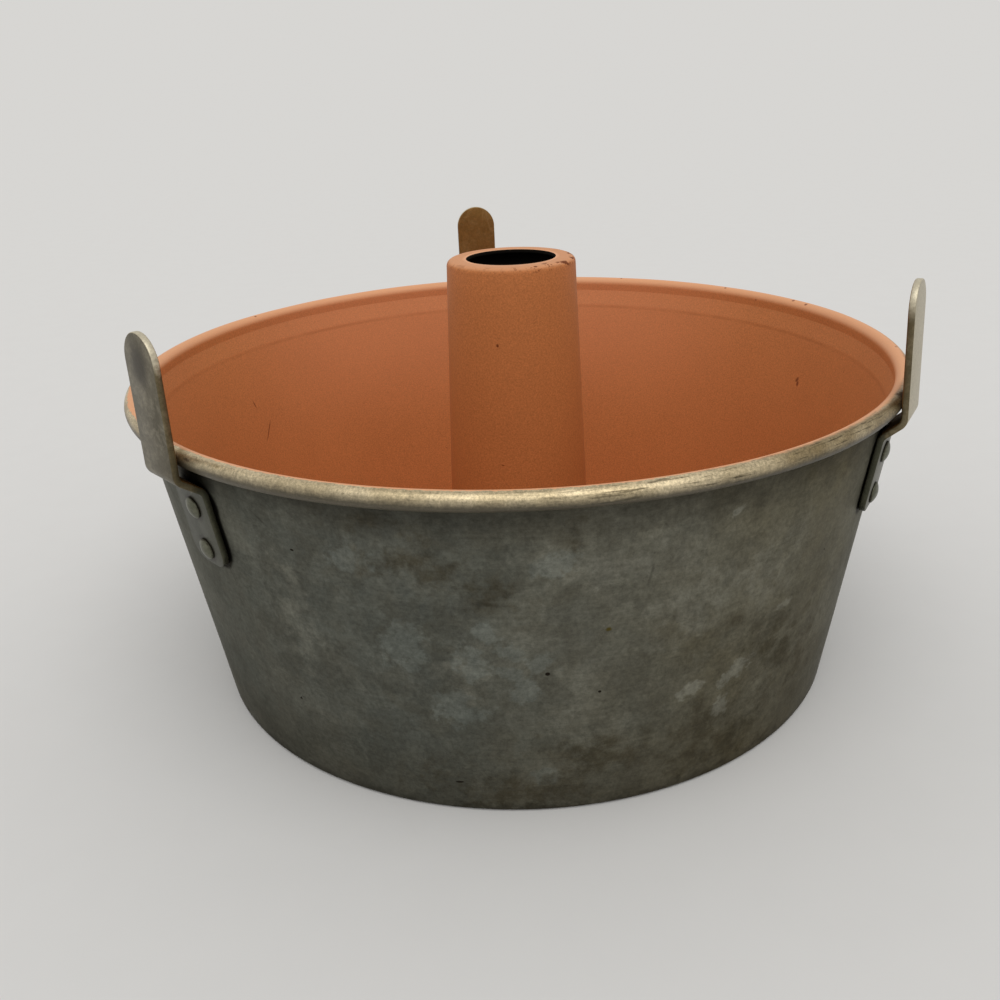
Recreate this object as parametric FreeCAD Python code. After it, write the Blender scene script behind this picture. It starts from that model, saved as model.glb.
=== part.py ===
import FreeCAD, Part

import math
import os

from FreeCAD import Placement, Rotation, Vector

# Angel food cake pan, upright on a table: a spun wall with a rolled rim and three cooling feet,
# and a loose floor with a tube in its middle that lifts out of the wall.
# Millimetres, +Z up, origin on the table under the middle of the tube, one foot at the back (+Y).

# Pan wall, measured on its outer face
PAN_SHEET = 1.2
BASE_RADIUS = 108.4
RIM_RADIUS = 124.5      # to the middle of the rolled bead
RIM_HEIGHT = 103.2      # to the middle of the rolled bead
LIP_FLARE = 2.65        # the lip starts this far inside the middle of the bead
LIP_DEPTH = 8.8         # and this far below it
LIP_BEND = 8.0
NECK_INSET = 0.9        # the lip turns back in under the bead, this far inside its middle
NECK_DEPTH = 2.7        # and this far below it
NECK_BEND = 0.6
BEAD_BORE = 1.4         # radius of the hollow in the bead
BEAD_EDGE_GAP = 0.4     # from the rolled edge to the neck
CORNER_BEND = 0.4
FLANGE_WIDTH = 10.0

# Base plate, the loose floor that lies on the flange
PLATE_SHEET = 1.2
PLATE_CLEARANCE = 0.7   # to the wall
PLATE_BEND = 1.0
RISE_HEIGHT = 3.0       # its middle stands this far above its edge
RISE_RUN = 4.0          # length of the slope between them
RISE_MARGIN = 8.0       # from the tube's flange to the slope
COLLAR_HEIGHT = 7.0
COLLAR_CLEARANCE = 0.1  # to the tube

# Centre tube, measured on its outer face
TUBE_SHEET = 1.2
TUBE_FOOT_RADIUS = 26.1
TUBE_TOP_RADIUS = 21.2
TUBE_HEIGHT = 136.7     # its top above the table
TUBE_SHOULDER_BEND = 0.8
MOUTH_LIP = 6.5         # width of the lip turned in at the top
TUBE_FLANGE = 6.0       # width of the flange flared out under the plate
TUBE_FLANGE_BEND = 0.8

# Feet, bent straps
FOOT_SHEET = 1.9
FOOT_WIDTH = 16.4
FOOT_HEIGHT = 137.4     # their tops above the table
FOOT_BEND = 2.0
JOG_RISE = 5.0          # the strap leaves the wall where the lip starts, and turns upright this far above
TAB_CORNER = 5.0
TAB_END = 1.6           # metal below the lower rivet's head
FRONT_FOOT_TURN = 126.9  # degrees from the rear foot round to each front foot

# How use has bent each foot: the gap from the bead to its upright, and the degrees it leans in
REAR_FOOT_GAP = 0.15
REAR_FOOT_LEAN = 0.0
LEFT_FOOT_GAP = 1.6
LEFT_FOOT_LEAN = 0.3
RIGHT_FOOT_GAP = 0.15
RIGHT_FOOT_LEAN = 3.0

# Rivets
RIVET_SHANK_RADIUS = 2.0
RIVET_HEAD_RADIUS = 3.25
RIVET_HEAD_HEIGHT = 1.5
RIVET_HEAD_EDGE = 0.5   # upright side of the outer head, below its dome
INNER_HEAD_RADIUS = 3.6
INNER_HEAD_HEIGHT = 0.9
RIVET_PITCH = 13.3
RIVET_MARGIN = 2.2      # from the upper rivet's head to the bend above it
RIVET_CLEARANCE = 0.1   # round the shank, and under the inner head

CUT_OVERRUN = 2.0
FULL_TURN = 360.0
REAR_AZIMUTH = 90.0
X_AXIS = Vector(1, 0, 0)
Y_AXIS = Vector(0, 1, 0)
Z_AXIS = Vector(0, 0, 1)
ORIGIN = Vector(0, 0, 0)

# Places worked out from the sizes above, in the half plane y = 0, x > 0
BASE_CORNER = Vector(BASE_RADIUS, 0, 0)
BEAD_MIDDLE = Vector(RIM_RADIUS, 0, RIM_HEIGHT)
LIP_START = BEAD_MIDDLE - Vector(LIP_FLARE, 0, LIP_DEPTH)
NECK = BEAD_MIDDLE - Vector(NECK_INSET, 0, NECK_DEPTH)
WALL_TAPER = math.atan2(LIP_START.x - BASE_RADIUS, LIP_START.z)
UP_WALL = Vector(math.sin(WALL_TAPER), 0, math.cos(WALL_TAPER))
OFF_WALL = Vector(math.cos(WALL_TAPER), 0, -math.sin(WALL_TAPER))
RAISED_FLOOR = PAN_SHEET + RISE_HEIGHT
BEAD_EDGE = RIM_RADIUS + BEAD_BORE + PAN_SHEET


def wall_point(height):
    """Point of the wall's outer face at a height, below the lip."""
    return BASE_CORNER + UP_WALL * (height / UP_WALL.z)


def left_of(heading):
    """Direction to the left of a heading, with X to the right and Z up."""
    return Vector(-heading.z, 0, heading.x)


def headings_of(points):
    return [(end - start).normalize() for start, end in zip(points, points[1:])]


def far_corners(points, sheet):
    """Corners of a bent sheet's other face, to the left of the face that runs through the points."""
    sides = [left_of(heading) for heading in headings_of(points)]
    inner = [corner + (before + after) * (sheet / (1 + before.dot(after)))
             for corner, before, after in zip(points[1:-1], sides, sides[1:])]
    return [points[0] + sides[0] * sheet] + inner + [points[-1] + sides[-1] * sheet]


def bend_radii(points, bends, sheet):
    """Radii of the near and far face at each corner: the face outside a bend has the sheet added."""
    headings = headings_of(points)
    near = []
    far = []
    for bend, before, after in zip(bends, headings, headings[1:]):
        turns_left = left_of(before).dot(after) > 0
        near.append(bend + sheet if turns_left else bend)
        far.append(bend if turns_left else bend + sheet)
    return near, far


def rounded_line(points, radii):
    """Straight edges through the points, with an arc at each corner between them."""
    edges = []
    start = points[0]
    for before, corner, after, radius in zip(points, points[1:], points[2:], radii):
        back = (before - corner).normalize()
        ahead = (after - corner).normalize()
        half_angle = back.getAngle(ahead) / 2
        reach = radius / math.tan(half_angle)
        middle = corner + (back + ahead).normalize() * (radius / math.sin(half_angle) - radius)
        arc = Part.Arc(corner + back * reach, middle, corner + ahead * reach)
        edges.append(Part.makeLine(start, arc.StartPoint))
        edges.append(arc.toShape())
        start = arc.EndPoint
    edges.append(Part.makeLine(start, points[-1]))
    return edges


def roll(start, middle, turn):
    """Arc from a start point about a middle, turning right, and the point where it ends."""
    spoke = start - middle
    halfway = middle + Rotation(Y_AXIS, turn / 2).multVec(spoke)
    end = middle + Rotation(Y_AXIS, turn).multVec(spoke)
    return Part.Arc(start, halfway, end).toShape(), end


def sheet_section(points, bends, sheet, rolled=None):
    """Face cut through a bent sheet; rolled, if given, is the middle and turn of an edge rolled right."""
    far_points = far_corners(points, sheet)
    near_radii, far_radii = bend_radii(points, bends, sheet)
    edges = rounded_line(points, near_radii) + rounded_line(far_points, far_radii)
    near_end = points[-1]
    far_end = far_points[-1]
    if rolled:
        near_arc, near_end = roll(near_end, *rolled)
        far_arc, far_end = roll(far_end, *rolled)
        edges += [near_arc, far_arc]
    edges.append(Part.makeLine(points[0], far_points[0]))
    edges.append(Part.makeLine(near_end, far_end))
    return Part.Face(Part.Wire(Part.__sortEdges__(edges)))


def spun(section):
    return section.revolve(ORIGIN, Z_AXIS, FULL_TURN)


def bead_start():
    """Where the outer face, above the neck, runs into the hollow of the bead."""
    to_middle = BEAD_MIDDLE - NECK
    reach = math.sqrt(to_middle.Length ** 2 - BEAD_BORE ** 2)
    aside = math.degrees(math.asin(BEAD_BORE / to_middle.Length))
    heading = Rotation(Y_AXIS, -aside).multVec(to_middle).normalize()
    return NECK + heading * reach


def bead_turn():
    """Degrees that the edge is rolled before it nears the neck again."""
    open_angle = math.acos((BEAD_BORE - BEAD_EDGE_GAP) / (BEAD_BORE + PAN_SHEET))
    return FULL_TURN - math.degrees(open_angle)


def make_pan_wall(holes):
    flange_edge = BASE_CORNER - X_AXIS * FLANGE_WIDTH
    outer_face = [flange_edge, BASE_CORNER, LIP_START, NECK, bead_start()]
    bends = [CORNER_BEND, LIP_BEND, NECK_BEND]
    shell = spun(sheet_section(outer_face, bends, PAN_SHEET, (BEAD_MIDDLE, bead_turn())))
    return shell.cut(holes)


def tube_radius(height):
    """Outer radius of the tube at a height."""
    share = (height - RAISED_FLOOR) / (TUBE_HEIGHT - RAISED_FLOOR)
    return TUBE_FOOT_RADIUS + (TUBE_TOP_RADIUS - TUBE_FOOT_RADIUS) * share


def make_base_plate():
    collar_top = RAISED_FLOOR + COLLAR_HEIGHT
    slope_top = TUBE_FOOT_RADIUS + TUBE_FLANGE + RISE_MARGIN
    wall_inside = wall_point(PAN_SHEET).x - PAN_SHEET / OFF_WALL.x
    lower_face = [
        Vector(tube_radius(collar_top) + COLLAR_CLEARANCE, 0, collar_top),
        Vector(tube_radius(RAISED_FLOOR) + COLLAR_CLEARANCE, 0, RAISED_FLOOR),
        Vector(slope_top, 0, RAISED_FLOOR),
        Vector(slope_top + RISE_RUN, 0, PAN_SHEET),
        Vector(wall_inside - CORNER_BEND - PLATE_CLEARANCE, 0, PAN_SHEET),
    ]
    return spun(sheet_section(lower_face, [PLATE_BEND, PLATE_BEND, PLATE_BEND], PLATE_SHEET))


def make_centre_tube():
    outer_face = [
        Vector(TUBE_FOOT_RADIUS + TUBE_FLANGE, 0, RAISED_FLOOR),
        Vector(TUBE_FOOT_RADIUS, 0, RAISED_FLOOR),
        Vector(TUBE_TOP_RADIUS, 0, TUBE_HEIGHT),
        Vector(TUBE_TOP_RADIUS - MOUTH_LIP, 0, TUBE_HEIGHT),
    ]
    return spun(sheet_section(outer_face, [TUBE_FLANGE_BEND, TUBE_SHOULDER_BEND], TUBE_SHEET))


# The strap's inner face: upright beside the bead, then a jog in to the wall and a tab down the wall
TAB_TOP = LIP_START
JOG_TURN = UP_WALL.getAngle(Vector(BEAD_EDGE, 0, TAB_TOP.z + JOG_RISE) - TAB_TOP)
JOG_BEND_REACH = (FOOT_BEND + FOOT_SHEET) * math.tan(JOG_TURN / 2)
UPPER_RIVET = TAB_TOP - UP_WALL * (JOG_BEND_REACH + RIVET_MARGIN + RIVET_HEAD_RADIUS)
LOWER_RIVET = UPPER_RIVET - UP_WALL * RIVET_PITCH
TAB_FOOT = LOWER_RIVET - UP_WALL * (RIVET_HEAD_RADIUS + TAB_END)


def foot_outline(gap):
    """Front view of a strap as a block through it: round at the top, two rounded corners below."""
    half_width = FOOT_WIDTH / 2
    inside = TAB_FOOT.x - CUT_OVERRUN
    outside = BEAD_EDGE + gap + FOOT_SHEET + CUT_OVERRUN

    def at(across, height):
        return Vector(inside, across, height)

    left_shoulder = at(-half_width, FOOT_HEIGHT - half_width)
    right_shoulder = at(half_width, FOOT_HEIGHT - half_width)
    sides = [right_shoulder, at(half_width, TAB_FOOT.z), at(-half_width, TAB_FOOT.z), left_shoulder]
    edges = rounded_line(sides, [TAB_CORNER, TAB_CORNER])
    edges.append(Part.Arc(left_shoulder, at(0, FOOT_HEIGHT), right_shoulder).toShape())
    return Part.Face(Part.Wire(edges)).extrude(X_AXIS * (outside - inside))


def upright_point(height, gap, lean):
    """Point of an upright's inner face, which leans in from where it passes the bead."""
    leaned = (height - RIM_HEIGHT) * math.tan(math.radians(lean))
    return Vector(BEAD_EDGE + gap - leaned, 0, height)


def make_foot(holes, gap, lean):
    """One strap, standing out along +X."""
    inner_face = [
        upright_point(FOOT_HEIGHT + CUT_OVERRUN, gap, lean),
        upright_point(TAB_TOP.z + JOG_RISE, gap, lean),
        TAB_TOP,
        TAB_FOOT - UP_WALL * CUT_OVERRUN,
    ]
    section = sheet_section(inner_face, [FOOT_BEND, FOOT_BEND], FOOT_SHEET)
    section.translate(Y_AXIS * (-FOOT_WIDTH / 2))
    return section.extrude(Y_AXIS * FOOT_WIDTH).common(foot_outline(gap)).cut(holes)


def dome_height_halfway(radius, height):
    """Height of a round dome halfway from its rim to its crown."""
    ball_radius = (radius ** 2 + height ** 2) / (height * 2)
    return math.sqrt(ball_radius ** 2 - (radius / 2) ** 2) - ball_radius + height


def make_rivet(seat):
    """Rivet through the wall and a strap, with its outer head on the strap, standing out along +X."""
    inner_seat = -PAN_SHEET - RIVET_CLEARANCE
    inner_crown = inner_seat - INNER_HEAD_HEIGHT
    dome_rim = FOOT_SHEET + RIVET_HEAD_EDGE
    crown = FOOT_SHEET + RIVET_HEAD_HEIGHT
    inner_halfway = inner_seat - dome_height_halfway(INNER_HEAD_RADIUS, INNER_HEAD_HEIGHT)
    halfway = dome_rim + dome_height_halfway(RIVET_HEAD_RADIUS, crown - dome_rim)
    edges = [
        Part.Arc(Vector(inner_seat, 0, INNER_HEAD_RADIUS),
                 Vector(inner_halfway, 0, INNER_HEAD_RADIUS / 2),
                 Vector(inner_crown, 0, 0)).toShape(),
        Part.makeLine(Vector(inner_crown, 0, 0), Vector(crown, 0, 0)),
        Part.Arc(Vector(crown, 0, 0),
                 Vector(halfway, 0, RIVET_HEAD_RADIUS / 2),
                 Vector(dome_rim, 0, RIVET_HEAD_RADIUS)).toShape(),
        Part.makeLine(Vector(dome_rim, 0, RIVET_HEAD_RADIUS), Vector(FOOT_SHEET, 0, RIVET_HEAD_RADIUS)),
        Part.makeLine(Vector(FOOT_SHEET, 0, RIVET_HEAD_RADIUS), Vector(FOOT_SHEET, 0, RIVET_SHANK_RADIUS)),
        Part.makeLine(Vector(FOOT_SHEET, 0, RIVET_SHANK_RADIUS), Vector(inner_seat, 0, RIVET_SHANK_RADIUS)),
        Part.makeLine(Vector(inner_seat, 0, RIVET_SHANK_RADIUS), Vector(inner_seat, 0, INNER_HEAD_RADIUS)),
    ]
    rivet = Part.Face(Part.Wire(edges)).revolve(ORIGIN, X_AXIS, FULL_TURN)
    rivet.Placement = Placement(seat, Rotation(X_AXIS, OFF_WALL))
    return rivet


def make_rivet_hole(seat):
    """Cylinder to cut from the wall and a strap for one rivet."""
    start = seat - OFF_WALL * (PAN_SHEET + CUT_OVERRUN)
    length = PAN_SHEET + FOOT_SHEET + CUT_OVERRUN * 2
    return Part.makeCylinder(RIVET_SHANK_RADIUS + RIVET_CLEARANCE, length, start, OFF_WALL)


def turned(shape, azimuth):
    """Copy of a shape that stands out along +X, turned about the pan's axis."""
    copy = shape.copy()
    copy.rotate(ORIGIN, Z_AXIS, azimuth)
    return copy


def make_parts():
    feet = {
        "rear": (REAR_AZIMUTH, REAR_FOOT_GAP, REAR_FOOT_LEAN),
        "left": (REAR_AZIMUTH + FRONT_FOOT_TURN, LEFT_FOOT_GAP, LEFT_FOOT_LEAN),
        "right": (REAR_AZIMUTH - FRONT_FOOT_TURN, RIGHT_FOOT_GAP, RIGHT_FOOT_LEAN),
    }
    rivet_seats = {"upper": UPPER_RIVET, "lower": LOWER_RIVET}
    holes = [make_rivet_hole(seat) for seat in rivet_seats.values()]
    parts = {"base_plate": make_base_plate(), "centre_tube": make_centre_tube()}
    wall_holes = []
    for side, (azimuth, gap, lean) in feet.items():
        parts[side + "_foot"] = turned(make_foot(holes, gap, lean), azimuth)
        wall_holes += [turned(hole, azimuth) for hole in holes]
        for place, seat in rivet_seats.items():
            parts["rivet_" + side + "_" + place] = turned(make_rivet(seat), azimuth)
    parts["pan_wall"] = make_pan_wall(wall_holes)
    return parts


os.makedirs("parts", exist_ok=True)
for name, shape in make_parts().items():
    shape.exportStep("parts/" + name + ".step")
    print(name, shape.ShapeType, len(shape.Solids), shape.isValid(), round(shape.Volume, 1))
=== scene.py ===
# %% [markdown]
# # An angel food cake pan
# The real pan is a spun aluminium wall, a loose floor with a tube in its middle, and three strap feet held
# by rivets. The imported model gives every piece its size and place, and what moves. This lesson models each
# piece again with finer curves and gives it the finish of a pan that has been baked in for years.

# %% The frame
import math

import bpy
from mathutils import Matrix, Quaternion, Vector


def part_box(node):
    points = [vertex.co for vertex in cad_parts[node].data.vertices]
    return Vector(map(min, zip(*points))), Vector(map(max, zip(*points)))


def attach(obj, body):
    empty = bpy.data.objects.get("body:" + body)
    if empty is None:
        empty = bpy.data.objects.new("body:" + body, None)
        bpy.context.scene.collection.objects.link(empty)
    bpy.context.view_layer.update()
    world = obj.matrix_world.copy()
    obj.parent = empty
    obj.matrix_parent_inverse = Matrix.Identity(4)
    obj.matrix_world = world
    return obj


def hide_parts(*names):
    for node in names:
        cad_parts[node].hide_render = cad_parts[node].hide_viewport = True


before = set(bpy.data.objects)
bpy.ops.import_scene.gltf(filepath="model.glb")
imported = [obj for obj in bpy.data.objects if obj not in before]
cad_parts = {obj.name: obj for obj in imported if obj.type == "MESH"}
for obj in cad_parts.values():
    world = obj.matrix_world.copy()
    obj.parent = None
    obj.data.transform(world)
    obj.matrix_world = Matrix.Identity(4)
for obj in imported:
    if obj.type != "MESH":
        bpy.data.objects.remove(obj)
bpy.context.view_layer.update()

bpy.ops.object.select_all(action="DESELECT")

# %% [markdown]
# Sheet metal is thin beside the pan, so sizes are written in millimetres and turned into Blender's metres
# by one unit. The outermost sizes are read from the frame, and the rest are what a bench rule would give.
# Round pieces are worked out in one half plane, y = 0 and x > 0, and turned about the pan's axis from
# there.

# %% Sizes that several pieces share
MM = 0.001
wall_low, wall_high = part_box("pan_wall")
_, tube_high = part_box("centre_tube")
WALL_SHEET = 1.2 * MM
BEAD_BORE = 1.4 * MM
BEAD_RADIUS = BEAD_BORE + WALL_SHEET
BASE_RADIUS = 108.4 * MM
LIP_FLARE = 2.65 * MM
LIP_DROP = 8.8 * MM
bead_middle = Vector((wall_high.x - BEAD_RADIUS, 0, wall_high.z - BEAD_RADIUS))
base_corner = Vector((BASE_RADIUS, 0, wall_low.z))
lip_start = bead_middle - Vector((LIP_FLARE, 0, LIP_DROP))
up_wall = (lip_start - base_corner).normalized()
off_wall = Vector((up_wall.z, 0, -up_wall.x))
wall_taper = math.atan2(up_wall.x, up_wall.z)


def wall_point(height):
    """Point of the wall's outer face at a height, below the lip."""
    return base_corner + up_wall * ((height - base_corner.z) / up_wall.z)


def round_pan(place, azimuth):
    """A place in the half plane, turned about the pan's axis by degrees from +X."""
    return Matrix.Rotation(math.radians(azimuth), 3, "Z") @ place


print("bead middle at", [round(x / MM, 2) for x in bead_middle], "taper", round(math.degrees(wall_taper), 2))

# %% [markdown]
# Three straps carry the pan when it is turned over to cool. Each leaves the wall where its lip starts, and
# two rivets hold its tab below that. The finishes need to know where they sit, because grime gathers round
# them, and round the tabs painted shadow too.

# %% Where the feet and rivets sit
STRAP_SHEET = 1.9 * MM
STRAP_BEND = 2.0 * MM
JOG_RISE = 5.0 * MM
TAB_END = 1.6 * MM
TAB_CORNER = 5.0 * MM
RIVET_HEAD_RADIUS = 3.25 * MM
RIVET_PITCH = 13.3 * MM
RIVET_MARGIN = 2.2 * MM
REAR_AZIMUTH = 90.0
FRONT_TURN = 126.9
FEET = {
    # azimuth, gap from the bead to the upright, degrees that the upright leans in
    "rear": (REAR_AZIMUTH, 0.15 * MM, 0.0),
    "left": (REAR_AZIMUTH + FRONT_TURN - 360, 1.6 * MM, 0.3),
    "right": (REAR_AZIMUTH - FRONT_TURN, 0.15 * MM, 3.0),
}
foot_low, foot_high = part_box("rear_foot")
half_width = (foot_high.x - foot_low.x) / 2
bead_edge = bead_middle.x + BEAD_RADIUS
jog_end = Vector((bead_edge, 0, lip_start.z + JOG_RISE))
tab_bend = (STRAP_BEND + STRAP_SHEET) * math.tan(up_wall.angle(jog_end - lip_start) / 2)
upper_rivet = lip_start - up_wall * (tab_bend + RIVET_MARGIN + RIVET_HEAD_RADIUS)
lower_rivet = upper_rivet - up_wall * RIVET_PITCH
tab_foot = lower_rivet - up_wall * (RIVET_HEAD_RADIUS + TAB_END)
print("tabs reach from", round(tab_foot.z / MM, 1), "to", round(lip_start.z / MM, 1), "mm up the wall")

# %% [markdown]
# The photograph was taken close, from a little above the rim. A camera placed there, with the same angle of
# view, lets the render be laid over it. It is aimed at a point on the pan's axis and rolled by the small
# tilt of the hand that held it.

# %% Camera
CAMERA_PLACE = Vector((-39.54, -331.55, 194.0)) * MM
CAMERA_AIM = Vector((-7.11, 0, 50.04)) * MM
CAMERA_ROLL = math.radians(-2.52)
CAMERA_LENS = 36.0
CAMERA_SENSOR = 36.0
bpy.ops.object.camera_add(location=CAMERA_PLACE)
camera = bpy.context.object
camera.name = "photo_camera"
camera.data.sensor_width = CAMERA_SENSOR
camera.data.lens = CAMERA_LENS
camera.data.clip_start = 10 * MM
aim = (CAMERA_AIM - CAMERA_PLACE).to_track_quat("-Z", "Y")
camera.rotation_euler = (aim @ Quaternion((0, 0, 1), CAMERA_ROLL)).to_euler()
bpy.context.scene.camera = camera
print("camera", round((CAMERA_AIM - CAMERA_PLACE).length, 3), "m from the pan")

# %% [markdown]
# A worn finish shows best under plain light: a pale sky all round for the soft fill, and one wide, distant
# lamp above and in front, which lights the far side of the well and draws the shine along the rim. The lamp
# reaches the whole floor evenly, and its strength is chosen so that the lit floor is as bright as the sky.
# Then the floor's far edge doesn't cross the picture as a horizon.

# %% Floor, lamp and sky
FLOOR_REACH = 30.0
FLOOR_SHADE = 0.72
SKY_STRENGTH = 0.68
LAMP_HEIGHT = math.radians(62)
LAMP_SIDE = math.radians(2)
LAMP_WIDTH = math.radians(60)
WARM_WHITE = (1.0, 0.985, 0.955)
lamp_strength = SKY_STRENGTH * (1 / FLOOR_SHADE - 1) * math.pi / math.sin(LAMP_HEIGHT)
bpy.ops.mesh.primitive_circle_add(vertices=96, radius=FLOOR_REACH, fill_type="NGON")
floor = bpy.context.object
floor.name = "studio_floor"
bpy.ops.object.light_add(type="SUN", rotation=(math.pi / 2 - LAMP_HEIGHT, 0, LAMP_SIDE))
lamp = bpy.context.object
lamp.name = "wide_lamp"
lamp.data.angle = LAMP_WIDTH
lamp.data.energy = lamp_strength
lamp.data.color = WARM_WHITE
world = bpy.data.worlds.new("pale_sky")
world.use_nodes = True
sky = world.node_tree.nodes["Background"]
sky.inputs["Color"].default_value = WARM_WHITE + (1.0,)
sky.inputs["Strength"].default_value = SKY_STRENGTH
bpy.context.scene.world = world
bpy.context.scene.view_settings.view_transform = "Standard"
print("stage: floor", FLOOR_REACH, "m, lamp", round(lamp_strength, 2), "W per square metre")

# %% [markdown]
# Every finish here is worked out by shader nodes from the place of a point on the pan. A few short helpers
# add a node and do sums with values and places, so that each finish below reads like a recipe. Colours are
# written as a photograph shows them, from 0 to 255, and turned into light values.

# %% Helpers that add shader nodes
def paint(red, green, blue):
    """A colour as a picture shows it, as the light value that a shader takes."""
    shades = [shade / 255 for shade in (red, green, blue)]
    return tuple(s / 12.92 if s < 0.04045 else ((s + 0.055) / 1.055) ** 2.4 for s in shades) + (1.0,)


def feed(tree, node, inputs):
    """Feed the inputs of a node: link each to a socket, or set it to a plain value."""
    for name, value in inputs.items():
        if isinstance(value, bpy.types.NodeSocket):
            tree.links.new(value, node.inputs[name])
        else:
            node.inputs[name].default_value = value


def add(tree, kind, inputs, **settings):
    """Add a shader node, set its options and feed its inputs."""
    node = tree.nodes.new("ShaderNode" + kind)
    for option, value in settings.items():
        setattr(node, option, value)
    feed(tree, node, inputs)
    return node


def work_out(tree, operation, first, second=0.0):
    return add(tree, "Math", {0: first, 1: second}, operation=operation).outputs["Value"]


def plus(tree, first, second):
    return work_out(tree, "ADD", first, second)


def minus(tree, first, second):
    return work_out(tree, "SUBTRACT", first, second)


def times(tree, first, second):
    return work_out(tree, "MULTIPLY", first, second)


def larger(tree, first, second):
    return work_out(tree, "MAXIMUM", first, second)


def split(tree, place):
    """The three parts of a place."""
    return add(tree, "SeparateXYZ", {0: place}).outputs


def join(tree, x, y, z=0.0):
    return add(tree, "CombineXYZ", {0: x, 1: y, 2: z}).outputs[0]


def vector(tree, operation, first, second=(0.0, 0.0, 0.0)):
    """A sum with places, which gives a place, or else a length or distance."""
    node = add(tree, "VectorMath", {0: first, 1: second}, operation=operation)
    return node.outputs["Value" if operation in ("LENGTH", "DISTANCE") else "Vector"]


print("a middle grey of 128 is a light value of", round(paint(128, 128, 128)[0], 3))

# %% [markdown]
# A mask says where a mark is, from 0 to 1. Masks are eased out of lengths and noise, and each lets a thin
# layer of another colour onto the one below, as dirt and wear come one over the other. Small heights, as
# bumps on top of each other, give the grain that catches the light.

# %% Helpers for masks, layers and relief
MIX_FACTOR, MIX_A, MIX_B, MIX_RESULT = 0, 6, 7, 2


def ease(tree, value, start, end):
    """0 below start, 1 above end, and smooth between; the other way round if start is the larger."""
    inputs = {"Value": value, "From Min": start, "From Max": end}
    if isinstance(start, float) and isinstance(end, float) and start > end:
        inputs = {"Value": value, "From Min": end, "From Max": start, "To Min": 1.0, "To Max": 0.0}
    return add(tree, "MapRange", inputs, interpolation_type="SMOOTHSTEP").outputs["Result"]


def spread(tree, value, low, high):
    """A mask from 0 to 1, spread out between two values."""
    return add(tree, "MapRange", {"Value": value, "To Min": low, "To Max": high}).outputs["Result"]


def noise(tree, place, scale, detail=4.0, roughness=0.5, distortion=0.0):
    inputs = {"Vector": place, "Scale": scale, "Detail": detail, "Roughness": roughness,
              "Distortion": distortion}
    return add(tree, "TexNoise", inputs).outputs["Fac"]


def mix(tree, mask, under, over, blend_type="MIX"):
    """The colour under, with the colour over it where the mask is 1."""
    inputs = {MIX_FACTOR: mask, MIX_A: under, MIX_B: over}
    return add(tree, "Mix", inputs, data_type="RGBA", blend_type=blend_type).outputs[MIX_RESULT]


def lay_on(tree, colour, *layers):
    """A colour with layers on it, each given as its tint, its mask and its share where the mask is 1."""
    for tint, mask, share in layers:
        colour = mix(tree, times(tree, mask, share), colour, tint)
    return colour


def tone(tree, colour, value, low, high):
    """A colour made darker and lighter, from one factor to another, as a value goes from 0 to 1."""
    return mix(tree, 1.0, colour, spread(tree, value, low, high), "MULTIPLY")


def relief(tree, *heights):
    """The normal of a face with small heights on it, each given as a value, its strength and its depth."""
    below = {}
    for height, strength, depth in heights:
        bump = add(tree, "Bump", {"Height": height, "Strength": strength, "Distance": depth, **below})
        below = {"Normal": bump.outputs["Normal"]}
    return bump.outputs["Normal"]


print("helpers for masks, layers and relief ready")

# %% [markdown]
# An effect that several finishes share is a node group, built once and placed in each of them with its own
# values. Every group here starts from a place. A finish is a material whose shader waits to be fed.

# %% Helpers for node groups and finishes
def new_group(name, inputs, outputs):
    """An empty node group that takes a place and more: its tree, its input sockets and its output node."""
    group = bpy.data.node_groups.new(name, "ShaderNodeTree")
    for label, value in {"Place": (0.0, 0.0, 0.0), **inputs}.items():
        kind = "NodeSocketFloat" if isinstance(value, float) else "NodeSocketVector"
        group.interface.new_socket(label, in_out="INPUT", socket_type=kind).default_value = value
    for label in outputs:
        kind = "NodeSocketColor" if label == "Colour" else "NodeSocketFloat"
        group.interface.new_socket(label, in_out="OUTPUT", socket_type=kind)
    return group, group.nodes.new("NodeGroupInput").outputs, group.nodes.new("NodeGroupOutput")


def use_group(tree, group, place, **values):
    """Place a node group in a tree, feed its inputs and give its outputs."""
    node = tree.nodes.new("ShaderNodeGroup")
    node.node_tree = group
    feed(tree, node, {"Place": place, **values})
    return node.outputs


def effect(tree, group, place, **values):
    """The one mask or value of a shared effect."""
    return use_group(tree, group, place, **values)[0]


def new_finish(name):
    """A material with nothing but its shader: the tree, the shader and the place on the piece."""
    finish = bpy.data.materials.new(name)
    finish.use_nodes = True
    tree = finish.node_tree
    return finish, tree, tree.nodes["Principled BSDF"], add(tree, "TexCoord", {}).outputs["Object"]


print("helpers for groups and finishes ready")

# %% [markdown]
# The floor is matte paper: one pale colour with a trace of grain, so that it keeps the pan's shadow and
# takes no notice for itself.

# %% Finish of the floor
PAPER_GRAIN = 0.01
finish, tree, shader, place = new_finish("pale_paper")
grain = spread(tree, noise(tree, place, 60.0), FLOOR_SHADE - PAPER_GRAIN, FLOOR_SHADE + PAPER_GRAIN)
shade = add(tree, "CombineColor", {0: grain, 1: grain, 2: grain}).outputs[0]
feed(tree, shader, {"Base Color": shade, "Roughness": 1.0, "Specular IOR Level": 0.0})
floor.data.materials.append(finish)
print("floor painted")

# %% [markdown]
# Marks of use come in a few kinds: soft blotches of heat stain, small specks, fine rings left by the
# spinning tool, and thin scratches. They give only masks and values from 0 to 1, and every finish decides
# what to do with them. Blotches are noise cut off at a level. Specks are a few of the cells that a Voronoi
# texture scatters. Both are moved about by a finer noise, or their outlines would look too smooth.

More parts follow.
